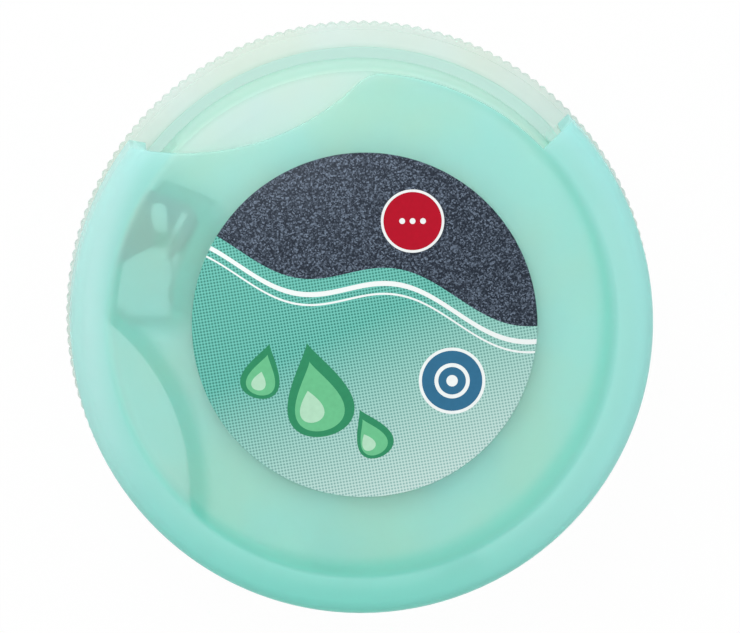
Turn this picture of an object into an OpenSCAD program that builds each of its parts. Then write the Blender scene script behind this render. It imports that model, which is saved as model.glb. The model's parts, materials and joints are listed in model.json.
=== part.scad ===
// A round pocket dispenser for dental floss. A knurled rear shell carries a hub with
// the floss bobbin. An inner lid closes the bobbin chamber and holds a steel cutter
// in an open bay. A front cover turns a quarter turn on the hub to bare the bay.
// The dispenser lies on its back: +Z runs from the back to the labelled face.

/* [Case] */
// Outer radius of the front cover
case_r = 28; // [26:0.5:32]
// Height of the cover's flat face above the table
case_h = 15; // [14:0.5:19]
// Radial running gap of a shaft in its bore
shaft_gap = 0.08; // [0.04:0.01:0.1]
// Gap between faces that slide past each other
slide_gap = 0.15; // [0.1:0.05:0.3]
// Gap between pieces that are seated together
seat_gap = 0.05; // [0.03:0.01:0.08]

/* [Rear shell] */
// Height of the knurled rim's top face above the table
rim_h = 4.2; // [3.6:0.2:5.6]
// Width of the rim's flat top face
rim_w = 2.05; // [1.7:0.05:2.4]
// Thickness of the floor
floor_t = 1.2; // [0.9:0.1:1.6]
// Depth of the panel recess in the back
foot_h = 0.4; // [0.2:0.1:0.6]
// Width of the foot ring round the recess
foot_w = 3; // [2:0.5:5]
// Number of ribs round the rim
knurl_count = 168; // [120:4:180]
// Height of a rib from valley to crest
knurl_depth = 0.28; // [0.15:0.01:0.35]
// Smooth edge below and above the ribs
knurl_edge = 0.35; // [0.2:0.05:0.5]
// Radius of the hub that carries the bobbin
hub_r = 4; // [3.6:0.1:4.6]
// Height of the ring that locates the inner lid
locate_h = 2.2; // [1.5:0.1:3]
// Thickness of that ring
locate_t = 1.1; // [0.8:0.1:1.2]

/* [Inner lid] */
// Wall and roof thickness of the inner lid
lid_t = 1.1; // [0.9:0.1:1.3]
// Width of the channel between the lid's wall and the cover's skirt
channel_w = 1.9; // [1.6:0.1:2.2]
// Gap between the lid's roof and the cover
roof_gap = 0.4; // [0.3:0.05:0.6]
// Chamfer round the roof
lid_chamfer = 0.4; // [0.2:0.1:0.6]
// Radius of the finger notch
finger_r = 21.3; // [18:0.5:26]
// Depth of the finger notch from the lid's wall
finger_depth = 4.8; // [4:0.2:5.4]
// Rounding of the notch's lower corner
finger_blend = 3; // [2.8:0.1:4]
// Radial depth of the cutter bay from the lid's wall
bay_depth = 6.5; // [6:0.1:7]
// Height of the cutter's seat below the roof
seat_drop = 1.8; // [1.4:0.1:2.4]
// Thickness of the shelf under the cutter
shelf_t = 3; // [2:0.5:4]
// Radius of the floss eyelet
eyelet_r = 0.7; // [0.5:0.1:0.9]

/* [Front cover] */
// Thickness of the cover's disc
cover_t = 1.4; // [1.1:0.1:1.7]
// Thickness of its skirt
skirt_t = 1.4; // [1.1:0.1:1.6]
// Rounding of its outer edge
edge_r = 1.3; // [0.8:0.1:1.6]
// Width of the band outside the disc's raised panel
band_w = 3.2; // [2.8:0.1:3.6]
// Fall of the band towards the rounding
band_drop = 0.15; // [0.1:0.05:0.25]
// Height of the soft step up to the panel
step_h = 0.35; // [0.2:0.05:0.45]
// Width of that step
step_w = 1.8; // [1.2:0.1:2.4]
// Width that the cutaway takes off the disc
cut_w = 3.8; // [3.4:0.1:4.2]
// Radius of the thumb notch
thumb_r = 24; // [20:0.5:28]
// Depth of the thumb notch from the cover's edge
thumb_depth = 8.1; // [7:0.1:9]
// Rounding of the corner between cutaway and notch
thumb_blend = 3; // [2:0.5:4]
// Radius of the stud that turns in the hub
stud_r = 2.5; // [2:0.1:2.8]
// Length of the stud below the disc
stud_len = 7.5; // [6:0.5:9]
// Height of the snap bead over the stud
bead_h = 0.25; // [0.15:0.05:0.35]

/* [Label] */
// Radius of the round label
label_r = 16.6; // [14:0.2:18]
// Thickness of the label
label_t = 0.12; // [0.08:0.02:0.2]
// How far the label sits off centre
label_shift = 0.2; // [0:0.05:0.4]

/* [Bobbin and floss] */
// Thickness of a bobbin flange
flange_t = 0.8; // [0.6:0.1:1.2]
// Radial room between the flange and the chamber wall
flange_gap = 0.6; // [0.5:0.1:1]
// Radius of the bobbin's core
core_r = 6.5; // [5.5:0.5:8]
// How far the flanges stand over the wound floss
flange_lip = 1.2; // [0.8:0.1:2]
// Swell of the wound floss at mid height
winding_swell = 0.25; // [0.1:0.05:0.4]
// Thickness of the floss
floss_d = 0.34; // [0.3:0.02:0.38]

/* [Cutter] */
// Thickness of the cutter's steel
cutter_t = 0.3; // [0.2:0.05:0.4]
// Radial width of the cutter
cutter_w = 5.8; // [5.2:0.1:6]
// Length of the cutter along the rim
cutter_l = 8.1; // [7.4:0.1:8.4]
// Depth of its bent tabs
tab_h = 2.2; // [1.4:0.1:2.6]
// Length of its bent tabs
tab_l = 3.2; // [2:0.1:4]

/* [Hidden] */
$fn = 144;
// Overrun of every cut
over = 0.5;

// Angles seen from the front, counterclockwise from +X
finger_a = 203.4;
thumb_a = 112.8;
cut_a = 44;
cutter_a = 157;
eyelet_a = 175.5;
turn_a = 90;
lug_a = 288;
lug_span_a = 8;
stop_play_a = 0.4;
open_stop_span_a = 17.6;
shut_stop_span_a = 4.5;

// Heights
floor_z = foot_h + floor_t;
cover_under_z = case_h - cover_t;
roof_z = cover_under_z - roof_gap;
chamber_z = roof_z - lid_t;
seat_z = roof_z - seat_drop;
lid_z = floor_z + seat_gap;
skirt_z = rim_h + slide_gap;

// Radii
rim_in_r = case_r - rim_w;
rim_out_r = case_r - knurl_edge;
foot_in_r = rim_out_r - foot_w;
skirt_in_r = case_r - skirt_t;
lid_r = skirt_in_r - channel_w;
cut_r = case_r - cut_w;
thumb_far = case_r - thumb_depth + thumb_r;
finger_far = lid_r - finger_depth + finger_r;
bay_r = lid_r - bay_depth;
bay_y = -lid_t / 4;

// Rear shell
knurl_steps = 4;
collar_h = 0.5;
collar_w = 1.5;
hub_top_z = chamber_z - slide_gap;
hub_bore_r = stud_r + shaft_gap;
gate_r = 0.8;
gate_h = 0.2;
stop_in_r = lid_r + slide_gap;
stop_out_r = skirt_in_r - slide_gap;
stop_rise_share = 0.6;
stop_top_z = rim_h + (seat_z - rim_h) * stop_rise_share;

// Front cover
band_z = case_h - step_h - band_drop;
step_out_r = case_r - band_w;
step_count = 8;
inner_edge_r = edge_r / 2;
bead_z = cover_under_z - stud_len;
bead_l = 0.8;
bead_room = 0.3;
lug_in_r = lid_r + slide_gap;
rub_ring_inset = 1.5;
rub_ring_r = label_r - rub_ring_inset;
rub_ring_w = 1;
rub_ring_h = roof_gap - slide_gap;

// Bobbin
bobbin_r = bay_r - lid_t - flange_gap;
bobbin_z = floor_z + collar_h + slide_gap;
bobbin_top_z = chamber_z - slide_gap * 2;
winding_r = bobbin_r - flange_lip;

// Bay, in the cutter's own frame: the first value runs outward, the second along
// the rim. Shares are of the cutter's width and length, from its inner upper corner.
bay_top = 5.45;
arch_r = 5.1;
arch_shares = [0.07, 1.22];
slot_shares = [[0.19, 0.11], [0.81, 0.11], [0.81, 0.9], [0.19, 0.9]];
side_tab_share = 0.34;
side_tab_edge = 0.08;
eyelet_rise = 4.9;
eyelet_z = floor_z + eyelet_rise;

// Cutter outline: an outer and an inner leg, with a tooth between them
cutter_shares = [
    [0.90, 0.02], [1.00, 0.12], [1.00, 1.00], [0.81, 0.86], [0.52, 0.60],
    [0.60, 0.44], [0.74, 0.32], [0.81, 0.16], [0.71, 0.11], [0.60, 0.11],
    [0.34, 0.46], [0.31, 0.10], [0.23, 0.12], [0.21, 0.41], [0.24, 0.67],
    [0.17, 0.68], [0.05, 0.48], [0.00, 0.16], [0.12, 0.04], [0.28, 0.00]];
cutter_lead_share = 0.48;
cutter_u = bay_r + seat_gap;
cutter_v = -cutter_l * cutter_lead_share;

// Route of the floss from the winding through the eyelet to the cutter
floss_sides = 8;
floss_steps = 5;
floss_route = [
    [-15.1, -4.9, 6.8], [-15.9, -2.6, 6.7], [-16.5, -0.4, 6.6], [-16.9, 0.8, 6.5],
    [-17.6, 1.4, 6.5], [-18.3, 1.6, 6.7], [-18.4, 2.6, 7.7], [-18.2, 3.9, 8.9],
    [-18.2, 5.3, 9.8], [-18.6, 6.8, 10.5], [-17.9, 8.5, 11.2], [-17.5, 9.2, 12.0],
    [-16.8, 10.5, 12.1]];

function at(r, a) = [r * cos(a), r * sin(a)];
function unit(v) = v / norm(v);

// Direction, from the centre, of a rounding of radius b that touches the circle of
// radius r from inside and a notch of radius nr, centred far out, from outside
function blend_a(r, far, nr, b) =
    acos((far * far + (r - b) * (r - b) - (nr + b) * (nr + b)) / (2 * far * (r - b)));

// A wedge of a disc, from angle a0 over span degrees
module wedge(r, a0, span) {
    polygon([[0, 0], at(r, a0), at(r, a0 + span / 3), at(r, a0 + span * 2 / 3), at(r, a0 + span)]);
}

// A ring's stretch, from angle a0 over span degrees
module ring_stretch(r_in, r_out, a0, span) {
    intersection() {
        difference() {
            circle(r = r_out);
            circle(r = r_in);
        }
        wedge(r_out * 2, a0, span);
    }
}

// Rounds the corner of its child where a notch, centred at angle a, meets the circle
// of radius r. The rounding's radius b shrinks by inset, and its centre stays.
module rounded_corner(r, a, far, nr, b, inset, side) {
    centre = at(r - b, a + side * blend_a(r, far, nr, b));
    to_rim = b * 2 * unit(centre);
    to_notch = b * 2 * unit(at(far, a) - centre);
    difference() {
        children();
        polygon([centre, centre + to_rim, centre + to_rim + to_notch, centre + to_notch]);
    }
    translate(centre) circle(r = b - inset);
}

// Outline of the inner lid, drawn in by inset
module lid_outline(inset) {
    rounded_corner(lid_r, finger_a, finger_far, finger_r, finger_blend, inset, 1)
        difference() {
            circle(r = lid_r - inset);
            translate(at(finger_far, finger_a)) circle(r = finger_r + inset);
        }
}

// Puts its children into the cutter's frame
module cutter_frame() {
    rotate(cutter_a) children();
}

// Plan of the cutter bay, let out by grow
module bay_area(grow) {
    intersection() {
        lid_outline(lid_t - grow);
        difference() {
            circle(r = lid_r);
            circle(r = bay_r - grow);
        }
        cutter_frame() translate([0, -bay_top - grow]) square(lid_r);
        translate([-lid_r, bay_y - grow]) square(lid_r);
    }
}

// Plan of the arch that bounds the shelf, let out by grow
module arch_area(grow) {
    cutter_frame() {
        centre = [cutter_u + cutter_w * arch_shares[0], cutter_v + cutter_l * arch_shares[1]];
        translate(centre) circle(r = arch_r + grow);
        translate([centre[0] - lid_r, centre[1]]) square(lid_r * 2);
    }
}

// Plan of the cutter, or of the slot under it, from a table of shares
module cutter_plan(shares) {
    cutter_frame()
        translate([cutter_u, cutter_v])
            polygon([for (s = shares) [s[0] * cutter_w, s[1] * cutter_l]]);
}

// Plan of the cutter's two tabs, let out by grow
module tab_plan(grow) {
    cutter_frame() {
        translate([cutter_u + cutter_w - cutter_t - grow, -tab_l / 2 - grow])
            square([cutter_t + grow * 2, tab_l + grow * 2]);
        translate([cutter_u + cutter_w * side_tab_share - grow, cutter_v + side_tab_edge - grow])
            square([tab_l + grow * 2, cutter_t + grow * 2]);
    }
}

// Radius of the ribbed rim at angle a: round crests and sharp valleys
function knurl_r(a) = case_r + knurl_depth * abs(sin(a * knurl_count / 2));

module knurled_band() {
    points = knurl_count * knurl_steps;
    translate([0, 0, knurl_edge * 2])
        linear_extrude(rim_h - knurl_edge * 3)
            difference() {
                polygon([for (i = [0:points - 1]) at(knurl_r(i * 360 / points), i * 360 / points)]);
                circle(r = rim_in_r + rim_w / 2);
            }
}

module rear_shell() {
    color("#A9E8D8")
        difference() {
            union() {
                rotate_extrude()
                    difference() {
                        polygon([
                            [0, 0],
                            [rim_out_r - knurl_edge, 0],
                            [rim_out_r, knurl_edge],
                            [rim_out_r, rim_h],
                            [0, rim_h]]);
                        translate([-over, floor_z]) square([rim_in_r + over, rim_h]);
                        translate([-over, -over]) square([foot_in_r + over, foot_h + over]);
                    }
                knurled_band();
                // Hub, with the collar that the bobbin runs on
                translate([0, 0, foot_h]) cylinder(r = hub_r, h = hub_top_z - foot_h);
                translate([0, 0, foot_h]) cylinder(r = hub_r + collar_w, h = floor_t + collar_h);
                // Ring that locates the inner lid, open round the bay
                translate([0, 0, foot_h])
                    linear_extrude(floor_t + locate_h)
                        difference() {
                            lid_outline(lid_t + seat_gap);
                            lid_outline(lid_t + seat_gap + locate_t);
                            bay_area(lid_t + seat_gap);
                        }
                // Stops for the turning cover
                translate([0, 0, foot_h])
                    linear_extrude(stop_top_z - foot_h) {
                        ring_stretch(stop_in_r, stop_out_r,
                            lug_a + lug_span_a + turn_a + stop_play_a, open_stop_span_a);
                        ring_stretch(stop_in_r, stop_out_r,
                            lug_a - stop_play_a - shut_stop_span_a, shut_stop_span_a);
                    }
                // Moulding gate in the middle of the back
                translate([0, 0, foot_h - gate_h]) cylinder(r = gate_r, h = gate_h + over);
            }
            // Bore for the cover's stud, with the groove for its snap bead
            translate([0, 0, bead_z - bead_room]) cylinder(r = hub_bore_r, h = case_h);
            translate([0, 0, bead_z - bead_room])
                cylinder(r = hub_bore_r + bead_h, h = bead_l + bead_room * 2);
        }
}

module inner_lid() {
    color("#9FE0CF")
        difference() {
            union() {
                lid_shell();
                cutter_shelf();
            }
            // Slot that the floss rises through, and sockets for the cutter's tabs
            translate([0, 0, seat_z - shelf_t - over])
                linear_extrude(shelf_t + over * 2) cutter_plan(slot_shares);
            translate([0, 0, seat_z - tab_h - seat_gap])
                linear_extrude(tab_h + over) tab_plan(seat_gap);
            // Hole for the cover's stud
            translate([0, 0, chamber_z - over])
                cylinder(r = hub_bore_r + bead_h, h = lid_t + over * 2);
            // Floss eyelet
            rotate(eyelet_a)
                translate([bay_r - lid_t - over, 0, eyelet_z])
                    rotate([0, 90, 0]) cylinder(r = eyelet_r, h = lid_t + over * 2);
        }
}

// Roof and wall, with the bay open from the roof to the floor
module lid_shell() {
    difference() {
        union() {
            difference() {
                translate([0, 0, lid_z]) linear_extrude(roof_z - lid_z) lid_outline(0);
                translate([0, 0, lid_z - over])
                    linear_extrude(chamber_z - lid_z + over) lid_outline(lid_t);
            }
            translate([0, 0, lid_z])
                linear_extrude(roof_z - lid_z - lid_t / 2)
                    difference() {
                        bay_area(lid_t);
                        bay_area(0);
                    }
        }
        translate([0, 0, floor_z]) linear_extrude(roof_z) bay_area(0);
        // Chamfer round the roof
        rotate_extrude()
            polygon([
                [lid_r - lid_chamfer, roof_z],
                [lid_r + over, roof_z - lid_chamfer - over],
                [lid_r + over, roof_z + over],
                [lid_r - lid_chamfer, roof_z + over]]);
        // Gap in the outer wall beside the cutter
        translate([0, 0, seat_z])
            linear_extrude(roof_z)
                intersection() {
                    difference() {
                        circle(r = lid_r + over);
                        circle(r = lid_r - lid_t - over);
                    }
                    cutter_frame()
                        translate([0, cutter_v - seat_gap])
                            square([lid_r * 2, cutter_l + seat_gap * 2]);
                }
    }
}

// Shelf under the cutter, with an arched wall down to the floor
module cutter_shelf() {
    translate([0, 0, seat_z - shelf_t])
        linear_extrude(shelf_t)
            difference() {
                bay_area(lid_t / 2);
                arch_area(0);
            }
    translate([0, 0, lid_z])
        linear_extrude(seat_z - lid_z)
            difference() {
                intersection() {
                    bay_area(lid_t / 2);
                    arch_area(lid_t);
                }
                arch_area(0);
            }
}

module front_cover() {
    color("#A6E6D6") {
        intersection() {
            rotate_extrude()
                difference() {
                    union() {
                        polygon(concat(
                            [[0, skirt_z],
                            [case_r, skirt_z],
                            [case_r, band_z - edge_r],
                            [case_r - edge_r, band_z]],
                            // The soft step, from its foot up to the panel
                            [for (s = [0:1 / step_count:1])
                                [step_out_r - step_w * s, case_h - step_h * (1 + cos(180 * s)) / 2]],
                            [[0, case_h]]));
                        translate([case_r - edge_r, band_z - edge_r]) circle(r = edge_r);
                    }
                    translate([-over, skirt_z - over])
                        square([skirt_in_r + over, cover_under_z - inner_edge_r - skirt_z + over]);
                    translate([-over, skirt_z - over])
                        square([skirt_in_r - inner_edge_r + over, cover_under_z - skirt_z + over]);
                    translate([skirt_in_r - inner_edge_r, cover_under_z - inner_edge_r])
                        circle(r = inner_edge_r);
                }
            translate([0, 0, skirt_z - over]) linear_extrude(case_h) cover_outline();
        }
        cover_stud();
        // Lug that meets the stops
        translate([0, 0, skirt_z])
            linear_extrude(cover_under_z - skirt_z + cover_t / 2)
                ring_stretch(lug_in_r, skirt_in_r + skirt_t / 2, lug_a, lug_span_a);
    }
}

module cover_outline() {
    rounded_corner(cut_r, thumb_a, thumb_far, thumb_r, thumb_blend, 0, -1)
        difference() {
            circle(r = case_r + over);
            difference() {
                wedge(case_r * 2, cut_a, thumb_a - cut_a);
                circle(r = cut_r);
            }
            translate(at(thumb_far, thumb_a)) circle(r = thumb_r);
        }
}

module cover_stud() {
    translate([0, 0, bead_z]) {
        cylinder(r = stud_r, h = stud_len + cover_t / 2);
        cylinder(r1 = stud_r, r2 = stud_r + bead_h - seat_gap, h = bead_l);
    }
    // Ring that keeps the disc off the lid's roof
    translate([0, 0, cover_under_z - rub_ring_h])
        linear_extrude(rub_ring_h + cover_t / 2)
            difference() {
                circle(r = rub_ring_r);
                circle(r = rub_ring_r - rub_ring_w);
            }
}

module front_label() {
    color("#3F8F86")
        translate([label_shift, 0, case_h]) cylinder(r = label_r, h = label_t);
}

module bobbin() {
    color("#F4F6F4")
        rotate_extrude()
            difference() {
                union() {
                    translate([0, bobbin_z]) square([bobbin_r, flange_t]);
                    translate([0, bobbin_z]) square([core_r, bobbin_top_z - bobbin_z]);
                    translate([0, bobbin_top_z - flange_t]) square([bobbin_r, flange_t]);
                }
                translate([0, bobbin_z - over]) square([hub_r + shaft_gap, case_h]);
            }
}

module floss_winding() {
    low_z = bobbin_z + flange_t + seat_gap;
    high_z = bobbin_top_z - flange_t - seat_gap;
    color("#F7FBF8")
        rotate_extrude()
            polygon(concat(
                [[core_r + seat_gap, low_z]],
                [for (s = [0:1 / 8:1])
                    [winding_r - winding_swell * pow(2 * s - 1, 2), low_z + (high_z - low_z) * s]],
                [[core_r + seat_gap, high_z]]));
}

// Points of a smooth curve through the route
function curve_point(p, i, t) =
    let (
        a = p[max(i - 1, 0)],
        b = p[i],
        c = p[i + 1],
        d = p[min(i + 2, len(p) - 1)])
    0.5 * (2 * b + (c - a) * t + (2 * a - 5 * b + 4 * c - d) * t * t
        + (3 * b - a - 3 * c + d) * t * t * t);

module floss_lead() {
    spans = len(floss_route) - 1;
    path = concat(
        [for (i = [0:spans - 1], k = [0:floss_steps - 1]) curve_point(floss_route, i, k / floss_steps)],
        [floss_route[spans]]);
    rings = len(path);
    points = [for (i = [0:rings - 1])
        let (
            along = unit(path[min(i + 1, rings - 1)] - path[max(i - 1, 0)]),
            side = unit(cross(along, [0.3, 0.2, 1])),
            up = cross(side, along))
        for (k = [0:floss_sides - 1])
            path[i] + floss_d / 2
                * (side * cos(k * 360 / floss_sides) + up * sin(k * 360 / floss_sides))];
    walls = [for (i = [0:rings - 2], k = [0:floss_sides - 1])
        let (
            a = i * floss_sides + k,
            b = i * floss_sides + (k + 1) % floss_sides)
        each [[a, b, b + floss_sides], [a, b + floss_sides, a + floss_sides]]];
    start_cap = [[for (k = [floss_sides - 1:-1:0]) k]];
    end_cap = [[for (k = [0:floss_sides - 1]) (rings - 1) * floss_sides + k]];
    color("#F7FBF8")
        polyhedron(points = points, faces = concat(walls, start_cap, end_cap));
}

module cutter() {
    color("#8E9499") {
        translate([0, 0, seat_z]) linear_extrude(cutter_t) cutter_plan(cutter_shares);
        translate([0, 0, seat_z - tab_h]) linear_extrude(tab_h + cutter_t / 2) tab_plan(0);
    }
}

rear_shell();
inner_lid();
front_cover();
front_label();
bobbin();
floss_winding();
floss_lead();
cutter();
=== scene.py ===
# A round pocket dispenser for dental floss, lying on its back: a knurled shell, a
# bobbin of floss, an inner lid with a steel cutter, and a turning cover with a label.
import json
import math

import bpy
from mathutils import Matrix, Vector

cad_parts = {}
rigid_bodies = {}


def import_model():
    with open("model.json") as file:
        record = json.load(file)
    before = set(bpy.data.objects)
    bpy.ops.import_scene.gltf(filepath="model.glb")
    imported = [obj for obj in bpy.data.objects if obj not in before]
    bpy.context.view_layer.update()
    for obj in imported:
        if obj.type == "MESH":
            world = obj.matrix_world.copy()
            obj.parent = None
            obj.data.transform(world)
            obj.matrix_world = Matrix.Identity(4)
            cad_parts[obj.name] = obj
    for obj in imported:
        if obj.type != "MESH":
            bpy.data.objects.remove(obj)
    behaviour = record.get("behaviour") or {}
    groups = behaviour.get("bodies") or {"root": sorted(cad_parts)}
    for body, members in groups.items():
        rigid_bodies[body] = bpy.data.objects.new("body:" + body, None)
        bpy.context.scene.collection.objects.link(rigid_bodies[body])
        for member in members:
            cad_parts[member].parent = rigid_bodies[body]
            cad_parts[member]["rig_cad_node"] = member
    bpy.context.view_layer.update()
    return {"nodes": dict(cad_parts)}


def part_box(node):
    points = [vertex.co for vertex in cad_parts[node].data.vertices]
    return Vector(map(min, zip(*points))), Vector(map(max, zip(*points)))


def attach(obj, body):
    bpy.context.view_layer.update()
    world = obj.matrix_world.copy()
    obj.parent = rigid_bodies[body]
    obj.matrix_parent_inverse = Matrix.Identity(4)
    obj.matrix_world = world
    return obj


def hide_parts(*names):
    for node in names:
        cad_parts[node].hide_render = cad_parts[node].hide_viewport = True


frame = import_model()


# Camera
# A long lens, almost square on to the cover. It stands a little above the middle, so
# that the ribbed rim of the shell shows past the cover's upper edge.
MM = 0.001

cover_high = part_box("front_cover")[1]
case_r = cover_high.x
case_top = cover_high.z

PHOTO_WIDTH = 740
SENSOR_WIDTH = 36
CAMERA_DISTANCE = 1.8
CAMERA_LEAN_X = -0.0290
CAMERA_LEAN_Y = 0.0895
AIM_X = 0.767 * MM
AIM_Y = 0.645 * MM
# The photo's scale holds at the cover's widest ring, which lies this far below its top
PIXELS_PER_MM = 10.406
RING_DROP = 1.8 * MM

camera_data = bpy.data.cameras.new("camera")
camera_data.sensor_width = SENSOR_WIDTH
camera_data.lens = SENSOR_WIDTH * CAMERA_DISTANCE / (PHOTO_WIDTH / PIXELS_PER_MM * MM)
camera_data.clip_start = 0.1
camera_data.clip_end = 50
camera = bpy.data.objects.new("camera", camera_data)
bpy.context.scene.collection.objects.link(camera)
lean = Vector((CAMERA_LEAN_X, CAMERA_LEAN_Y, 1)).normalized()
aim = Vector((AIM_X, AIM_Y, case_top - RING_DROP))
camera.location = aim + lean * CAMERA_DISTANCE
across = Vector((0, 1, 0)).cross(lean).normalized()
upward = lean.cross(across)
camera.rotation_euler = Matrix((across, upward, lean)).transposed().to_euler()
bpy.context.scene.camera = camera


# Rear shell
# The tray that everything sits in, injection moulded in natural polypropylene, which
# is milky rather than clear. Its rim is ribbed so that a wet thumb holds it.
EDGE_RADIUS = 0.12 * MM
WALL_SOFTNESS = 0.5 * MM


def linear(hex_colour):
    """An sRGB hex colour as the linear red, green, blue and alpha of a shader socket."""
    channels = [int(hex_colour[i : i + 2], 16) / 255 for i in (0, 2, 4)]
    return [c / 12.92 if c <= 0.04045 else ((c + 0.055) / 1.055) ** 2.4 for c in channels] + [1]


def add_node(tree, kind, settings=None, inputs=None, links=None):
    """Adds a node. settings are its own values, inputs its sockets, links what feeds them."""
    node = tree.nodes.new(kind)
    for name, value in (settings or {}).items():
        setattr(node, name, value)
    for name, value in (inputs or {}).items():
        node.inputs[name].default_value = value
    for name, source in (links or {}).items():
        tree.links.new(source, node.inputs[name])
    return node


def new_material(name):
    """An empty material, its tree and its output node."""
    material = bpy.data.materials.new(name)
    material.use_nodes = True
    material.node_tree.nodes.clear()
    return material, material.node_tree, material.node_tree.nodes.new("ShaderNodeOutputMaterial")


def moulded_polypropylene(name, finish, tint_and_shade_bands=()):
    """Frosted polypropylene: a milky skin that scatters light, over a body that tints it.

    tint_and_shade_bands are soft circles on which the colour changes, as a tint of the
    plastic or as painted light or shade: the centre's x and y, the radius where the new
    colour begins, the radius where it is full, and the tint.
    """
    material, tree, output = new_material(name)
    place = add_node(tree, "ShaderNodeTexCoord")
    # The flow of the melt leaves faint clouds, about 9 mm across
    flow = add_node(
        tree,
        "ShaderNodeTexNoise",
        inputs={"Scale": 1 / (9 * MM), "Detail": 2.0, "Roughness": 0.5},
        links={"Vector": place.outputs["Object"]},
    )
    clouds = add_node(
        tree,
        "ShaderNodeMapRange",
        inputs={"From Min": 0.35, "From Max": 0.65},
        links={"Value": flow.outputs["Fac"]},
    )
    tint = add_node(
        tree,
        "ShaderNodeMix",
        settings={"data_type": "RGBA"},
        inputs={6: linear(finish["skin"]), 7: linear(finish["cloud"])},
        links={"Factor": clouds.outputs["Result"]},
    )
    colour = tint.outputs["Result"]
    for x, y, begins, full, shade in tint_and_shade_bands:
        centred = add_node(
            tree,
            "ShaderNodeMapping",
            inputs={"Location": (-x, -y, 0), "Scale": (1, 1, 0)},
            links={"Vector": place.outputs["Object"]},
        )
        radius = add_node(
            tree,
            "ShaderNodeVectorMath",
            settings={"operation": "LENGTH"},
            links={"Vector": centred.outputs["Vector"]},
        )
        band = add_node(
            tree,
            "ShaderNodeMapRange",
            settings={"interpolation_type": "SMOOTHSTEP"},
            inputs={"From Min": begins, "From Max": full},
            links={"Value": radius.outputs["Value"]},
        )
        deepened = add_node(
            tree,
            "ShaderNodeMix",
            settings={"data_type": "RGBA"},
            inputs={7: linear(shade)},
            links={"Factor": band.outputs["Result"], 6: colour},
        )
        colour = deepened.outputs["Result"]
    # The mould's spark-eroded grain is near 0.05 mm, drawn 0.25 mm wide so that it shows
    spark = add_node(
        tree,
        "ShaderNodeTexNoise",
        inputs={"Scale": 1 / (0.25 * MM), "Detail": 3.0},
        links={"Vector": place.outputs["Object"]},
    )
    bump = add_node(
        tree,
        "ShaderNodeBump",
        inputs={"Strength": 0.25, "Distance": finish["grain"]},
        links={"Height": spark.outputs["Fac"]},
    )
    skin = add_node(
        tree,
        "ShaderNodeBsdfPrincipled",
        inputs={"Roughness": finish["roughness"], "IOR": 1.49},
        links={"Base Color": colour, "Normal": bump.outputs["Normal"]},
    )
    milk = add_node(tree, "ShaderNodeBsdfTranslucent", links={"Color": colour})
    frosted = add_node(
        tree,
        "ShaderNodeMixShader",
        inputs={0: finish["milk"]},
        links={1: skin.outputs["BSDF"], 2: milk.outputs["BSDF"]},
    )
    # What lies behind shows straight through, and blurred by the haze. The wall is thin and
    # hardly bends what is seen through it, so the blur's IOR is low.
    clear_tint = linear(finish["clear_tint"])
    through = add_node(tree, "ShaderNodeBsdfTransparent", inputs={"Color": clear_tint})
    blur = add_node(
        tree,
        "ShaderNodeBsdfGlass",
        inputs={"Color": clear_tint, "Roughness": 0.45, "IOR": 1.12},
    )
    hazy = add_node(
        tree,
        "ShaderNodeMixShader",
        inputs={0: finish["haze"]},
        links={1: through.outputs["BSDF"], 2: blur.outputs["BSDF"]},
    )
    # Past wall_r the plastic stands on edge, and less of what lies behind comes through
    reach = add_node(
        tree,
        "ShaderNodeMapping",
        inputs={"Scale": (1, 1, 0)},
        links={"Vector": place.outputs["Object"]},
    )
    outward = add_node(
        tree,
        "ShaderNodeVectorMath",
        settings={"operation": "LENGTH"},
        links={"Vector": reach.outputs["Vector"]},
    )
    clearness = add_node(
        tree,
        "ShaderNodeMapRange",
        settings={"interpolation_type": "SMOOTHSTEP"},
        inputs={
            "From Min": finish["wall_r"] - WALL_SOFTNESS,
            "From Max": finish["wall_r"] + WALL_SOFTNESS,
            "To Min": finish["clear"],
            "To Max": finish["wall_clear"],
        },
        links={"Value": outward.outputs["Value"]},
    )
    whole = add_node(
        tree,
        "ShaderNodeMixShader",
        links={
            0: clearness.outputs["Result"],
            1: frosted.outputs["Shader"],
            2: hazy.outputs["Shader"],
        },
    )
    body = add_node(
        tree,
        "ShaderNodeVolumeAbsorption",
        inputs={"Color": linear(finish["body"]), "Density": finish["density"] / MM},
    )
    tree.links.new(whole.outputs["Shader"], output.inputs["Surface"])
    tree.links.new(body.outputs["Volume"], output.inputs["Volume"])
    return material


def select_only(piece):
    bpy.ops.object.select_all(action="DESELECT")
    piece.select_set(True)
    bpy.context.view_layer.objects.active = piece


# Points closer than this are one. Faces that bend less than the first angle are one flat
# face, edges sharper than the second are rounded, and bends below the third shade smooth.
WELD_DISTANCE = 0.0005 * MM
FLAT_ANGLE = math.radians(0.3)
SHARP_ANGLE = math.radians(48)
SMOOTH_ANGLE = math.radians(28)


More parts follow.
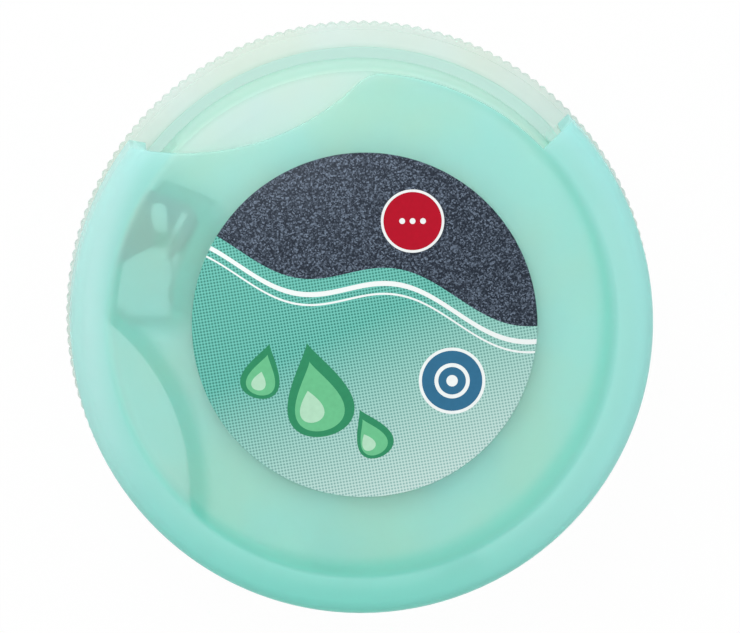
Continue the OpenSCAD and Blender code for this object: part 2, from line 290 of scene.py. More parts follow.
def moulded_copy(node, name, body, material, radius):
    """Adds a piece with a node's own shape, its edges rounded a little as its making leaves them."""
    piece = frame["nodes"][node].copy()
    piece.data = piece.data.copy()
    piece.name = name
    piece.parent = None
    bpy.context.scene.collection.objects.link(piece)
    select_only(piece)
    bpy.ops.object.mode_set(mode="EDIT")
    bpy.ops.mesh.select_all(action="SELECT")
    bpy.ops.mesh.remove_doubles(threshold=WELD_DISTANCE)
    bpy.ops.mesh.dissolve_limited(angle_limit=FLAT_ANGLE)
    bpy.ops.object.mode_set(mode="OBJECT")
    edge = piece.modifiers.new("edges", "BEVEL")
    edge.width = radius
    edge.segments = 2
    edge.limit_method = "ANGLE"
    edge.angle_limit = SHARP_ANGLE
    edge.use_clamp_overlap = True
    bpy.ops.object.modifier_apply(modifier="edges")
    bpy.ops.object.shade_smooth_by_angle(angle=SMOOTH_ANGLE)
    piece.data.materials.clear()
    piece.data.materials.append(material)
    # The copy is a piece of its own and no longer the CAD's node
    del piece["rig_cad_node"]
    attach(piece, body)
    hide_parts(node)


# Natural polypropylene: frosted and almost colourless. The floor is a clear mint, more so
# in its panel. Under the open bay, where no white bobbin lies over it, it is deepest: that
# is painted shade in the deep bay.
SHELL_FINISH = {
    "skin": "F8FCFB",
    "cloud": "F8FAF4",
    "clear_tint": "FCFFFE",
    "body": "80E0CC",
    "density": 0.02,
    "roughness": 0.42,
    "grain": 0.015 * MM,
    "clear": 0.5,
    "milk": 0.60,
    "haze": 0.0,
    "wall_r": 26.0 * MM,
    "wall_clear": 0.25,
}
SHELL_FLOOR = "DCFFF8"
SHELL_PANEL = "B0FCF2"
BAY_FLOOR_SHADE = "60F4E4"
RIM_WIDTH = 2.05 * MM
FLOOR_BLEND = 0.04 * MM
PANEL_R = 24.4 * MM
PANEL_BLEND = 0.8 * MM
UNDER_BAY_X = -19.5 * MM
UNDER_BAY_Y = 3.5 * MM
UNDER_BAY_BEGINS = 7.5 * MM
UNDER_BAY_FULL = 3 * MM
rim_in_r = case_r - RIM_WIDTH
shell_bands = (
    (0, 0, rim_in_r + FLOOR_BLEND, rim_in_r - FLOOR_BLEND, SHELL_FLOOR),
    (0, 0, PANEL_R, PANEL_R - PANEL_BLEND, SHELL_PANEL),
    # Painted shade on the floor under the deep bay
    (UNDER_BAY_X, UNDER_BAY_Y, UNDER_BAY_BEGINS, UNDER_BAY_FULL, BAY_FLOOR_SHADE),
)
shell_plastic = moulded_polypropylene("natural_polypropylene", SHELL_FINISH, shell_bands)
moulded_copy("rear_shell", "shell", "case", shell_plastic, EDGE_RADIUS)


# Bobbin
# Two thin flanges on a core, moulded in white polystyrene. It turns on the shell's hub
# as the floss is drawn off.

# White polystyrene: bright and even, with a swirl in its gloss from the mould
bobbin_plastic, tree, output = new_material("white_polystyrene")
place = add_node(tree, "ShaderNodeTexCoord")
swirl = add_node(
    tree,
    "ShaderNodeTexNoise",
    inputs={"Scale": 1 / (4 * MM), "Detail": 2.0},
    links={"Vector": place.outputs["Object"]},
)
gloss = add_node(
    tree,
    "ShaderNodeMapRange",
    inputs={"To Min": 0.28, "To Max": 0.40},
    links={"Value": swirl.outputs["Fac"]},
)
surface = add_node(
    tree,
    "ShaderNodeBsdfPrincipled",
    inputs={"Base Color": linear("F1F4F1"), "IOR": 1.59},
    links={"Roughness": gloss.outputs["Result"]},
)
tree.links.new(surface.outputs["BSDF"], output.inputs["Surface"])
moulded_copy("bobbin", "spool_bobbin", "spool", bobbin_plastic, EDGE_RADIUS)


# Wound floss
# Waxed nylon filament, wound turn beside turn into a slight barrel. The outer layer is
# one unbroken helix over the layers beneath it.
FLOSS_D = 0.34 * MM
SWELL = 0.25 * MM
LAYERS_R = 6.6 * MM
# Shares of the thread's thickness: how deep the inner layers lie under the outer one, and
# how much shorter they are than the winding
LAYERS_SUNK = 0.75
LAYERS_SHORT = 0.2
# The inner layers swell only outside this many times their inner radius
CORE_SHARE = 1.2

winding_low, winding_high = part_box("floss_winding")
winding_r = winding_high.x
winding_mid = (winding_low.z + winding_high.z) / 2
winding_half = (winding_high.z - winding_low.z) / 2


def swollen(piece, keep_inside):
    """Draws the points of a winding in towards the flanges, as a wound barrel narrows there."""
    for vertex in piece.data.vertices:
        radius = math.hypot(vertex.co.x, vertex.co.y)
        if radius < keep_inside:
            continue
        share = (vertex.co.z - winding_mid) / winding_half
        narrowed = (radius - SWELL * share * share) / radius
        vertex.co.x *= narrowed
        vertex.co.y *= narrowed


# Waxed nylon: a soft sheen over fibres far finer than a pixel, drawn 0.5 mm long
floss_fibre, tree, output = new_material("waxed_nylon_filament")
place = add_node(tree, "ShaderNodeTexCoord")
stretch = add_node(
    tree,
    "ShaderNodeMapping",
    inputs={"Scale": (1, 1, 6)},
    links={"Vector": place.outputs["Object"]},
)
fibres = add_node(
    tree,
    "ShaderNodeTexNoise",
    inputs={"Scale": 1 / (0.5 * MM), "Detail": 4.0},
    links={"Vector": stretch.outputs["Vector"]},
)
shade = add_node(
    tree,
    "ShaderNodeMix",
    settings={"data_type": "RGBA"},
    inputs={"A": linear("DDE6E2"), "B": linear("F6FAF8")},
    links={"Factor": fibres.outputs["Fac"]},
)
twist = add_node(
    tree,
    "ShaderNodeBump",
    inputs={"Strength": 0.4, "Distance": 0.02 * MM},
    links={"Height": fibres.outputs["Fac"]},
)
surface = add_node(
    tree,
    "ShaderNodeBsdfPrincipled",
    inputs={"Roughness": 0.42, "Sheen Weight": 0.25},
    links={"Base Color": shade.outputs["Result"], "Normal": twist.outputs["Normal"]},
)
tree.links.new(surface.outputs["BSDF"], output.inputs["Surface"])

layers_out = winding_r - FLOSS_D * LAYERS_SUNK
bpy.ops.object.select_all(action="DESELECT")
bpy.ops.mesh.primitive_plane_add(
    size=1,
    location=((LAYERS_R + layers_out) / 2, 0, winding_mid),
    rotation=(math.pi / 2, 0, 0),
)
layers = bpy.context.object
layers.name = "floss_layers"
layers.scale = (layers_out - LAYERS_R, winding_half * 2 - FLOSS_D * LAYERS_SHORT, 1)
bpy.ops.object.transform_apply(location=True, rotation=True, scale=True)
# Only the outline of the section is kept, and spun round the axis
bpy.ops.object.mode_set(mode="EDIT")
bpy.ops.mesh.select_all(action="SELECT")
bpy.ops.mesh.subdivide(number_cuts=9)
bpy.ops.mesh.select_all(action="SELECT")
bpy.ops.mesh.region_to_loop()
bpy.ops.mesh.select_all(action="INVERT")
bpy.ops.mesh.delete(type="VERT")
bpy.ops.mesh.select_all(action="SELECT")
bpy.ops.mesh.delete(type="ONLY_FACE")
bpy.ops.mesh.select_all(action="SELECT")
bpy.ops.mesh.spin(steps=96, angle=math.tau, center=(0, 0, 0), axis=(0, 0, 1), use_auto_merge=True)
bpy.ops.mesh.select_all(action="SELECT")
bpy.ops.mesh.remove_doubles(threshold=0.001 * MM)
bpy.ops.mesh.normals_make_consistent(inside=False)
bpy.ops.object.mode_set(mode="OBJECT")
swollen(layers, LAYERS_R * CORE_SHARE)
bpy.ops.object.shade_smooth_by_angle(angle=math.radians(35))
layers.data.materials.append(floss_fibre)
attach(layers, "spool")

TURN_STEPS = 72
turn_count = int((winding_half * 2 - FLOSS_D) / FLOSS_D)
bpy.ops.object.select_all(action="DESELECT")
bpy.ops.mesh.primitive_circle_add(
    vertices=8,
    radius=FLOSS_D / 2,
    location=(winding_r - FLOSS_D / 2, 0, winding_mid - FLOSS_D * turn_count / 2),
    rotation=(math.pi / 2, 0, 0),
)
turns = bpy.context.object
turns.name = "floss_turns"
bpy.ops.object.transform_apply(location=True, rotation=True, scale=True)
helix = turns.modifiers.new("helix", "SCREW")
helix.axis = "Z"
helix.angle = math.tau
helix.screw_offset = FLOSS_D
helix.iterations = turn_count
helix.steps = TURN_STEPS
helix.render_steps = TURN_STEPS
bpy.ops.object.modifier_apply(modifier="helix")
bpy.ops.object.mode_set(mode="EDIT")
bpy.ops.mesh.select_all(action="SELECT")
bpy.ops.mesh.fill_holes(sides=0)
bpy.ops.mesh.select_all(action="SELECT")
bpy.ops.mesh.normals_make_consistent(inside=False)
bpy.ops.object.mode_set(mode="OBJECT")
swollen(turns, LAYERS_R)
bpy.ops.object.shade_smooth_by_angle(angle=math.radians(60))
turns.data.materials.append(floss_fibre)
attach(turns, "spool")
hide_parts("floss_winding")


# Inner lid
# Moulded in mint polypropylene. It closes the bobbin chamber, and its open bay at the
# left holds the cutter. Its edges show through the cover as darker bands.
LID_WALL = 1.1 * MM
NOTCH_RADIUS = 21.3 * MM
NOTCH_DEPTH = 4.8 * MM
NOTCH_ANGLE = math.radians(203.4)
BAY_X = -19.0 * MM
BAY_Y = 6.5 * MM
BAY_BEGINS = 8.5 * MM
BAY_FULL = 5.0 * MM
# How far inside the lid's outer face the tint of its side begins and is full
SIDE_BEGINS = 0.2 * MM
SIDE_FULL = 0.05 * MM
# How far inside the notch's wall its tint begins, and how far within the wall it is full
NOTCH_BEGINS = 1.3 * MM
NOTCH_FULL = 0.2 * MM
lid_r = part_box("inner_lid")[1].x
notch_far = lid_r - NOTCH_DEPTH + NOTCH_RADIUS
notch_wall_r = NOTCH_RADIUS + LID_WALL

# Mint polypropylene: softly milky, with depth in it. The bay's walls and the wall round
# the finger notch look deeper, because the eye looks along the plastic there. Round the
# bay the deeper teal is partly the thick plastic and partly painted shade in the deep bay.
BAY_DEPTH_AND_SHADE = "44DCC8"
LID_SIDE = "ECFCF6"
NOTCH_WALL = "40DCC8"
LID_FINISH = {
    "skin": "ECFCFA",
    "cloud": "F0FCF4",
    "clear_tint": "FFFFFF",
    "body": "30F4E0",
    "density": 0.10,
    "roughness": 0.36,
    "grain": 0.015 * MM,
    "clear": 0.28,
    "milk": 0.15,
    "haze": 0.0,
    "wall_r": 24.3 * MM,
    "wall_clear": 0.45,
}
lid_bands = (
    # Round the bay: the thick plastic's deeper tint, with painted shade in the deep bay
    (BAY_X, BAY_Y, BAY_BEGINS, BAY_FULL, BAY_DEPTH_AND_SHADE),
    (0, 0, lid_r - SIDE_BEGINS, lid_r - SIDE_FULL, LID_SIDE),
    (
        notch_far * math.cos(NOTCH_ANGLE),
        notch_far * math.sin(NOTCH_ANGLE),
        notch_wall_r + NOTCH_BEGINS,
        notch_wall_r - NOTCH_FULL,
        NOTCH_WALL,
    ),
)
lid_plastic = moulded_polypropylene("mint_polypropylene", LID_FINISH, lid_bands)
moulded_copy("inner_lid", "lid", "case", lid_plastic, EDGE_RADIUS)


# Cutter
# One stamping of stainless sheet with a tooth that severs the floss and two tabs bent
# down into the lid. The grain runs the way the sheet was rolled.
ROLLED_ANGLE = math.radians(67)
CUTTER_EDGE = 0.03 * MM

# Rolled stainless steel: a grey gloss drawn out along the sheet. Its grey is set a little
# green, a painted reflection of the mint plastic round it.
steel, tree, output = new_material("rolled_stainless_steel")
place = add_node(tree, "ShaderNodeTexCoord")
rolled = add_node(
    tree,
    "ShaderNodeMapping",
    inputs={"Rotation": (0, 0, ROLLED_ANGLE), "Scale": (1, 14, 1)},
    links={"Vector": place.outputs["Object"]},
)
grain = add_node(
    tree,
    "ShaderNodeTexNoise",
    inputs={"Scale": 1 / (1.2 * MM), "Detail": 4.0},
    links={"Vector": rolled.outputs["Vector"]},
)
polish = add_node(
    tree,
    "ShaderNodeMapRange",
    inputs={"To Min": 0.22, "To Max": 0.42},
    links={"Value": grain.outputs["Fac"]},
)
surface = add_node(
    tree,
    "ShaderNodeBsdfPrincipled",
    inputs={"Base Color": linear("8CA6A1"), "Metallic": 1.0},
    links={"Roughness": polish.outputs["Result"]},
)
tree.links.new(surface.outputs["BSDF"], output.inputs["Surface"])
moulded_copy("cutter", "cutter_blade", "case", steel, CUTTER_EDGE)


# Floss end
# The free end runs from the winding through the eyelet in the bay's wall, up through
# the cutter's slit, and lies on the steel where the last piece was cut off.
FLOSS_ROUTE_MM = [
    (-15.1, -4.9, 6.8), (-15.9, -2.6, 6.7), (-16.5, -0.4, 6.6), (-16.9, 0.8, 6.5),
    (-17.6, 1.4, 6.5), (-18.3, 1.6, 6.7), (-18.4, 2.6, 7.7), (-18.2, 3.9, 8.9),
    (-18.2, 5.3, 9.8), (-18.6, 6.8, 10.5), (-17.9, 8.5, 11.2), (-17.5, 9.2, 12.0),
    (-16.8, 10.5, 12.1),
]

route = [Vector(point) * MM for point in FLOSS_ROUTE_MM]
path = bpy.data.curves.new("floss_end", "CURVE")
path.dimensions = "3D"
path.resolution_u = 8
path.bevel_depth = FLOSS_D / 2
path.bevel_resolution = 3
path.use_fill_caps = True
spline = path.splines.new("BEZIER")
spline.bezier_points.add(len(route) - 1)
for i, point in enumerate(spline.bezier_points):
    ahead = route[min(i + 1, len(route) - 1)]
    behind = route[max(i - 1, 0)]
    # A sixth of the way between its neighbours gives the same curve as the CAD's
    handle = (ahead - behind) / 6
    point.co = route[i]
    point.handle_left = route[i] - handle
    point.handle_right = route[i] + handle
floss_end = bpy.data.objects.new("floss_end", path)
bpy.context.scene.collection.objects.link(floss_end)
select_only(floss_end)
bpy.ops.object.convert(target="MESH")
floss_end = bpy.context.object
bpy.ops.object.shade_smooth_by_angle(angle=math.radians(60))
floss_end.data.materials.clear()
floss_end.data.materials.append(floss_fibre)
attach(floss_end, "case")
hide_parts("floss_lead")


# Front cover
# A deep cap moulded in clearer mint polypropylene, cut away along its upper edge. It
# turns on a stud in the hub until the cutaway bares the bay.

# Clear mint polypropylene: lightly frosted, so that what lies under it shows softly, and
# more solid in its rim. Shade is painted into it in the step round its panel, towards the
# bottom and at its lower edge, and light outside the step and at its left edge.
COVER_FINISH = {
    "skin": "D2FFFB",
    "cloud": "DEFCF0",
    "clear_tint": "FAFFFE",
    "body": "30FFF8",
    "density": 0.06,
    "roughness": 0.24,
    "grain": 0.006 * MM,
    "clear": 0.68,
    "milk": 0.20,
    "haze": 0.55,
    "wall_r": 24.3 * MM,
    "wall_clear": 0.32,
}
# Its tints and its painted light and shade lie over one another. In millimetres: the
# centre's x and y, the radius where the tint begins and the radius where it is full.
COVER_TINTS_LIGHT_AND_SHADE_MM = (
    # Painted shade in the soft step round the panel
    (-0.8, 0.8, 23.0, 24.4, "A8F6EA"),
    # Painted light on the band outside the step, against the shade of the step's slope
    (-0.35, 0, 23.9, 24.7, "BEF5F0"),
    # The rounded outer edge, which is paler
    (0, 0, 25.4, 27.4, "CCFFFF"),
    # Painted light on the left edge, the side towards the lamp, which is the palest
    (16, 0, 39.5, 43.0, "E2FFFF"),
    # Painted shade over all of the disc, slowly deeper from the top downwards, away from the lamp
    (2, 40, 10, 150, "98F0E4"),
    # Painted shade on the lower edge, which faces away from the lamp and is the deepest
    (1, 14, 35, 46, "70E8D6"),
)
cover_tints_light_and_shade = [
    (x * MM, y * MM, begins * MM, full * MM, shade)
    for x, y, begins, full, shade in COVER_TINTS_LIGHT_AND_SHADE_MM
]
cover_plastic = moulded_polypropylene("clear_mint_polypropylene", COVER_FINISH, cover_tints_light_and_shade)
moulded_copy("front_cover", "cover", "cover", cover_plastic, EDGE_RADIUS)


# Label
# A round of laminated film, printed with a foil field, a halftone and thin lines. The
# print is plain shapes only: a wave, drops and dots.
FOIL_SLATE = "14202F"
FLAKE_GLINT_SLATE = "707F92"
HALFTONE_DARK = "1E786A"
HALFTONE_LIGHT = "6EC6B8"
DOT_PALE = "86BAB4"
LABEL_PALE = "CFE9E3"
LABEL_WHITE = "F2F8F7"
ACCENT_RED = "B80024"
DISC_BLUE = "2F6E92"
# The print is measured in millimetres from the label's centre, u across and v up. A real
# halftone's dots lie about 0.2 mm apart, and these are drawn wider so that they show.
DOT_PITCH = 0.42
RASTER_ANGLE = math.radians(35)
FLAKE_WIDTH = 0.13
# The wave's middle line, its tilt, its swing and how fast and from where it swings
WAVE_V = 4.6
WAVE_TILT = -0.22
WAVE_SWING = 1.5
WAVE_PITCH = 0.30
WAVE_START = 0.5
# The threads' distance below the wave, and half their width
BROAD_DROP = 1.5
BROAD_HALF = 0.24
FINE_DROP = 2.5
FINE_HALF = 0.10
# The fade per millimetre to the right and upwards, and at the centre
FADE_ACROSS = 0.025
FADE_UP = -0.055
FADE_CENTRE = 0.02
# The foil: how few of its flakes are painted bright as glints, and how metallic it is
FLAKE_POWER = 3.0
FOIL_METAL = 0.25

label_low, label_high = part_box("front_label")
label_x = (label_low.x + label_high.x) / 2
label_r = (label_high.x - label_low.x) / 2
# Each ink lies this much over the last, with room for them all under the label's top
INK_LIFT = 0.006 * MM
INK_THICKNESS = INK_LIFT * 0.8
INK_LAYERS = 4
label_top = label_high.z - INK_LIFT * INK_LAYERS

# Printed film: the halftone's dots show as a fine weave, the foil as dull slate with
# painted glints on its flakes here and there, and the laminate puts a soft gloss over both.
print_film, tree, output = new_material("printed_laminate_film")
place = add_node(tree, "ShaderNodeTexCoord")
millimetres = add_node(
    tree,
    "ShaderNodeMapping",
    inputs={"Location": (-label_x / MM, 0, 0), "Scale": (1 / MM, 1 / MM, 1 / MM)},
    links={"Vector": place.outputs["Object"]},
)
across_up = add_node(tree, "ShaderNodeSeparateXYZ", links={"Vector": millimetres.outputs["Vector"]})
raster = add_node(
    tree,
    "ShaderNodeVectorRotate",
    settings={"rotation_type": "Z_AXIS"},
    inputs={"Angle": RASTER_ANGLE},
    links={"Vector": millimetres.outputs["Vector"]},
)
raster_axes = add_node(tree, "ShaderNodeSeparateXYZ", links={"Vector": raster.outputs["Vector"]})

# The foil's flakes are finer than a pixel, so they are drawn 0.13 mm wide
flakes = add_node(
    tree,
    "ShaderNodeTexVoronoi",
    inputs={"Scale": 1 / FLAKE_WIDTH},
    links={"Vector": millimetres.outputs["Vector"]},
)
flake_axes = add_node(tree, "ShaderNodeSeparateColor", links={"Color": flakes.outputs["Color"]})

# What the print measures, step by step: the wave that parts foil from halftone, the
# height above it, the fade to the lower right, the dots, the two threads and the glint
measures = {
    "u": across_up.outputs["X"],
    "v": across_up.outputs["Y"],
    "p": raster_axes.outputs["X"],
    "q": raster_axes.outputs["Y"],
    "flake": flake_axes.outputs["Red"],
}
for name, operation, *terms in (
    ("phase", "MULTIPLY_ADD", "u", WAVE_PITCH, WAVE_START),
    ("swing", "SINE", "phase"),
    ("slope", "MULTIPLY_ADD", "u", WAVE_TILT, WAVE_V),
    ("horizon", "MULTIPLY_ADD", "swing", WAVE_SWING, "slope"),
    ("above", "SUBTRACT", "v", "horizon"),
    ("foil", "GREATER_THAN", "above", 0.0),
    ("drift", "MULTIPLY_ADD", "u", FADE_ACROSS, FADE_CENTRE),
    ("fade", "MULTIPLY_ADD", "v", FADE_UP, "drift"),
    ("row_phase", "MULTIPLY", "p", math.tau / DOT_PITCH),
    ("row", "SINE", "row_phase"),
    ("column_phase", "MULTIPLY", "q", math.tau / DOT_PITCH),
    ("column", "SINE", "column_phase"),
    ("dots", "MULTIPLY", "row", "column"),
    ("broad_offset", "ADD", "above", BROAD_DROP),
    ("broad_side", "ABSOLUTE", "broad_offset"),
    ("broad_thread", "LESS_THAN", "broad_side", BROAD_HALF),
    ("fine_offset", "ADD", "above", FINE_DROP),
    ("fine_side", "ABSOLUTE", "fine_offset"),
    ("fine_thread", "LESS_THAN", "fine_side", FINE_HALF),
    ("threads", "MAXIMUM", "broad_thread", "fine_thread"),
    ("glint", "POWER", "flake", FLAKE_POWER),
    ("shine", "MULTIPLY", "foil", FOIL_METAL),
):
    step = add_node(
        tree,
        "ShaderNodeMath",
        settings={"operation": operation},
        inputs={i: term for i, term in enumerate(terms) if not isinstance(term, str)},
        links={i: measures[term] for i, term in enumerate(terms) if isinstance(term, str)},
    )
    measures[name] = step.outputs["Value"]

ground = add_node(
    tree,
    "ShaderNodeMix",
    settings={"data_type": "RGBA"},
    inputs={6: linear(HALFTONE_LIGHT), 7: linear(LABEL_PALE)},
    links={"Factor": measures["fade"]},
)
ink = add_node(
    tree,
    "ShaderNodeMix",
    settings={"data_type": "RGBA"},
    inputs={6: linear(HALFTONE_DARK), 7: linear(DOT_PALE)},
    links={"Factor": measures["fade"]},
)
dot_edge = add_node(
    tree,
    "ShaderNodeMapRange",
    inputs={"From Min": 0.0, "From Max": 0.35, "To Min": 0.0, "To Max": 0.85},
    links={"Value": measures["dots"]},
)
halftone = add_node(
    tree,
    "ShaderNodeMix",
    settings={"data_type": "RGBA"},
    links={"Factor": dot_edge.outputs["Result"], 6: ground.outputs["Result"], 7: ink.outputs["Result"]},
)
threaded = add_node(
    tree,
    "ShaderNodeMix",
    settings={"data_type": "RGBA"},
    inputs={7: linear(LABEL_WHITE)},
    links={"Factor": measures["threads"], 6: halftone.outputs["Result"]},
)
# The foil's slate, with painted glints in a lighter slate on its flakes
foil = add_node(
    tree,
    "ShaderNodeMix",
    settings={"data_type": "RGBA"},
    inputs={6: linear(FOIL_SLATE), 7: linear(FLAKE_GLINT_SLATE)},
    links={"Factor": measures["glint"]},
)
printed = add_node(
    tree,
    "ShaderNodeMix",
    settings={"data_type": "RGBA"},
    links={"Factor": measures["foil"], 6: threaded.outputs["Result"], 7: foil.outputs["Result"]},
)
surface = add_node(
    tree,
    "ShaderNodeBsdfPrincipled",
    inputs={"Roughness": 0.38, "IOR": 1.38, "Coat Weight": 0.08, "Coat Roughness": 0.15},
    links={"Base Color": printed.outputs["Result"], "Metallic": measures["shine"]},
)
tree.links.new(surface.outputs["BSDF"], output.inputs["Surface"])

# White film, seen from behind: matt, with a faint unevenness from the glue under it
film_back, tree, output = new_material("white_film_back")
place = add_node(tree, "ShaderNodeTexCoord")
glue = add_node(
    tree,
    "ShaderNodeTexNoise",
    inputs={"Scale": 1 / (1.5 * MM), "Detail": 2.0},
    links={"Vector": place.outputs["Object"]},
)
matt_glue = add_node(
    tree,
    "ShaderNodeMapRange",
    inputs={"To Min": 0.5, "To Max": 0.7},
    links={"Value": glue.outputs["Fac"]},
)
surface = add_node(
    tree,
    "ShaderNodeBsdfPrincipled",
    inputs={"Base Color": linear("FAFBFA")},
    links={"Roughness": matt_glue.outputs["Result"]},
)
tree.links.new(surface.outputs["BSDF"], output.inputs["Surface"])

bpy.ops.object.select_all(action="DESELECT")
bpy.ops.mesh.primitive_cylinder_add(
    vertices=256,
    radius=label_r,
    depth=label_top - label_low.z,
    location=(label_x, 0, (label_low.z + label_top) / 2),
)
label = bpy.context.object
label.name = "label_film"
bpy.ops.object.transform_apply(location=True, rotation=True, scale=True)
cut_edge = label.modifiers.new("cut_edge", "BEVEL")
cut_edge.width = 0.04 * MM
cut_edge.segments = 2
cut_edge.limit_method = "ANGLE"
cut_edge.angle_limit = math.radians(40)
bpy.ops.object.modifier_apply(modifier="cut_edge")
bpy.ops.object.shade_smooth_by_angle(angle=math.radians(30))
label.data.materials.append(print_film)
label.data.materials.append(film_back)
# The underside is the film's white back
for face in label.data.polygons:
    if face.normal.z < -0.5:
        face.material_index = 1
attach(label, "cover")
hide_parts("front_label")


def printed_ink(name, shade):
    """Ink of one colour with the faint mottle of a printed solid."""
    material, tree, output = new_material(name)
    place = add_node(tree, "ShaderNodeTexCoord")
    mottle = add_node(
        tree,
        "ShaderNodeTexNoise",
        inputs={"Scale": 1 / (0.5 * MM), "Detail": 3.0},
        links={"Vector": place.outputs["Object"]},
    )
    depth = add_node(
        tree,
        "ShaderNodeMapRange",
        inputs={"To Min": 0.88, "To Max": 1.08},
        links={"Value": mottle.outputs["Fac"]},
    )
    tinted = add_node(
        tree,
        "ShaderNodeMix",
        settings={"data_type": "RGBA", "blend_type": "MULTIPLY"},
        inputs={"Factor": 1.0, "A": linear(shade)},
        links={"B": depth.outputs["Result"]},
    )
    ink_surface = add_node(
        tree,
        "ShaderNodeBsdfPrincipled",
        inputs={"Roughness": 0.4, "IOR": 1.25, "Coat Weight": 0.06, "Coat Roughness": 0.15},
        links={"Base Color": tinted.outputs["Result"]},
    )
    tree.links.new(ink_surface.outputs["BSDF"], output.inputs["Surface"])
    return material


def printed_shape(name, ink, centre, size, level, tip=0.0, turn=0.0, hole=0.0):
    """Adds a flat printed shape: a disc, a ring where hole is set, or a drop where tip is set."""
    bpy.ops.object.select_all(action="DESELECT")
    bpy.ops.mesh.primitive_circle_add(vertices=96, radius=1, fill_type="NGON", location=(0, 0, 0))
    shape = bpy.context.object
    shape.name = name
    if hole:
        bpy.ops.object.mode_set(mode="EDIT")
        bpy.ops.mesh.select_all(action="SELECT")
        bpy.ops.mesh.inset(thickness=1 - hole, depth=0)
        bpy.ops.mesh.delete(type="FACE")
        bpy.ops.object.mode_set(mode="OBJECT")
    if tip:
        # A drop's sides draw in towards its tip
        for vertex in shape.data.vertices:
            angle = math.atan2(vertex.co.x, -vertex.co.y)
            vertex.co.x = math.sin(angle) * abs(math.cos(angle / 2)) ** tip
    shape.scale = (size * MM, size * MM, 1)
    shape.rotation_euler = (0, 0, math.radians(turn))
    shape.location = (label_x + centre[0] * MM, centre[1] * MM, label_top + INK_LIFT * level)
    bpy.ops.object.transform_apply(location=True, rotation=True, scale=True)
    film = shape.modifiers.new("film", "SOLIDIFY")
    film.thickness = INK_THICKNESS
    film.offset = 1
    bpy.ops.object.modifier_apply(modifier="film")
    shape.data.materials.append(ink)
    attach(shape, "cover")


ink_white = printed_ink("white_ink", LABEL_WHITE)
ink_red = printed_ink("red_ink", ACCENT_RED)
ink_blue = printed_ink("blue_ink", DISC_BLUE)
ink_leaf = printed_ink("deep_mint_ink", "2F8E63")
ink_mint = printed_ink("mint_ink", "6CC48F")
ink_pale = printed_ink("pale_mint_ink", "B5E2C4")

SEAL_U = 4.6
SEAL_V = 10.0
printed_shape("print_seal_ring", ink_white, (SEAL_U, SEAL_V), 3.05, 1)
printed_shape("print_seal", ink_red, (SEAL_U, SEAL_V), 2.8, 2)
for index, aside in enumerate((-1.0, 0.0, 1.0)):
    printed_shape(f"print_seal_dot_{index}", ink_white, (SEAL_U + aside, SEAL_V), 0.28, 3)

DISC_CENTRE = (8.4, -5.4)
printed_shape("print_disc_ring", ink_white, DISC_CENTRE, 3.2, 1)
printed_shape("print_disc", ink_blue, DISC_CENTRE, 2.9, 2)
printed_shape("print_disc_loop", ink_white, DISC_CENTRE, 1.7, 3, hole=0.78)
printed_shape("print_disc_eye", ink_white, DISC_CENTRE, 0.55, 3)

# Each drop is a deep rim, a smaller body and a small light, all towards its round end:
# its name, centre, size and turn
DROPS = (
    ("large", (-4.6, -6.2), 4.6, 12),
    ("left", (-9.8, -4.4), 2.7, -14),
    ("right", (0.6, -10.4), 2.5, 26),
)
for word, (u, v), size, turn in DROPS:
    printed_shape(f"print_drop_{word}", ink_leaf, (u, v), size, 1, tip=1.5, turn=turn)
    inner = (u, v - size * 0.14)
    printed_shape(f"print_drop_{word}_body", ink_mint, inner, size * 0.74, 2, tip=1.5, turn=turn)
    light = (u - size * 0.12, v - size * 0.36)
    printed_shape(f"print_drop_{word}_light", ink_pale, light, size * 0.34, 3, tip=1.1, turn=turn)


# Ground and light
# A white table top, an even white surround and one broad soft lamp up at the left. The
# table top shows nearly its full white, and what is left lets the shadow show on it.
TABLE_GLOW = 0.975
# The table top lies a hair under the foot ring, so that the two never share a plane
TABLE_DROP = 0.02 * MM
SURROUND_STRENGTH = 0.68
LAMP_SIZE = 0.5
LAMP_WATTS = 1.8
LAMP_PLACE = (-0.15, 0.36, 0.46)

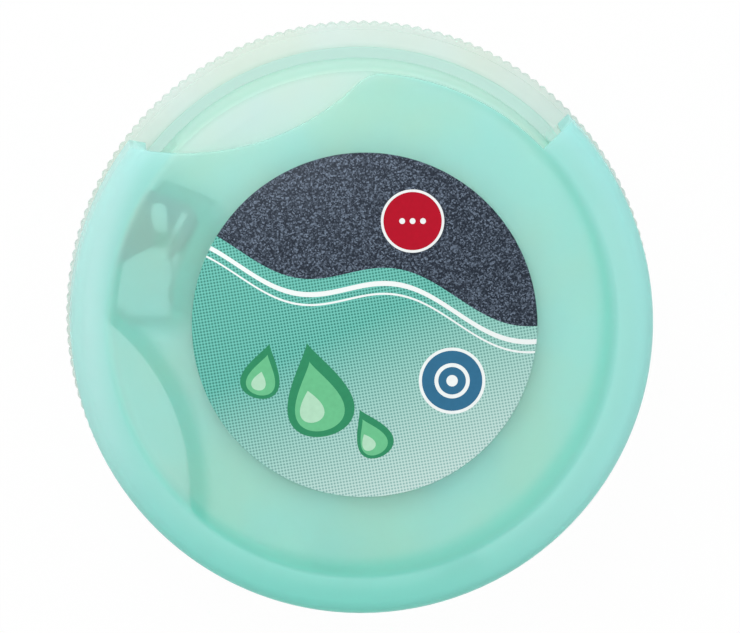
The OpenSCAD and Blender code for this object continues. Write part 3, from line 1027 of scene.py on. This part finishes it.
floor_paint, tree, output = new_material("white_table_top")
rays = add_node(tree, "ShaderNodeLightPath")
eye = add_node(
    tree,
    "ShaderNodeMath",
    settings={"operation": "MAXIMUM"},
    links={0: rays.outputs["Is Camera Ray"], 1: rays.outputs["Is Glossy Ray"]},
)
seen = add_node(
    tree,
    "ShaderNodeMath",
    settings={"operation": "MAXIMUM"},
    links={0: eye.outputs["Value"], 1: rays.outputs["Is Transmission Ray"]},
)
share = add_node(
    tree,
    "ShaderNodeMath",
    settings={"operation": "MULTIPLY"},
    inputs={1: TABLE_GLOW},
    links={0: seen.outputs["Value"]},
)
matt = add_node(tree, "ShaderNodeBsdfDiffuse", inputs={"Color": linear("F4F5F4")})
glow = add_node(tree, "ShaderNodeEmission", inputs={"Color": linear("FFFFFF"), "Strength": 1.0})
blend = add_node(
    tree,
    "ShaderNodeMixShader",
    links={0: share.outputs["Value"], 1: matt.outputs["BSDF"], 2: glow.outputs["Emission"]},
)
tree.links.new(blend.outputs["Shader"], output.inputs["Surface"])

bpy.ops.object.select_all(action="DESELECT")
bpy.ops.mesh.primitive_plane_add(size=8, location=(0, 0, -TABLE_DROP))
table_top = bpy.context.object
table_top.name = "table_top"
table_top.data.materials.append(floor_paint)

world = bpy.data.worlds.new("surround")
world.use_nodes = True
bpy.context.scene.world = world
surround = world.node_tree.nodes["Background"]
surround.inputs["Color"].default_value = linear("FFFFFF")
surround.inputs["Strength"].default_value = SURROUND_STRENGTH

lamp_data = bpy.data.lights.new("soft_box", "AREA")
lamp_data.shape = "DISK"
lamp_data.size = LAMP_SIZE
lamp_data.energy = LAMP_WATTS
lamp = bpy.data.objects.new("soft_box", lamp_data)
bpy.context.scene.collection.objects.link(lamp)
lamp.location = LAMP_PLACE
lamp.rotation_mode = "QUATERNION"
lamp.rotation_quaternion = (-lamp.location).to_track_quat("-Z", "Y")

bpy.context.scene.view_settings.view_transform = "Standard"

# Light crosses many thin walls of plastic here, so its paths are long
light_paths = bpy.context.scene.cycles
light_paths.max_bounces = 24
light_paths.diffuse_bounces = 10
light_paths.transmission_bounces = 24
light_paths.transparent_max_bounces = 32
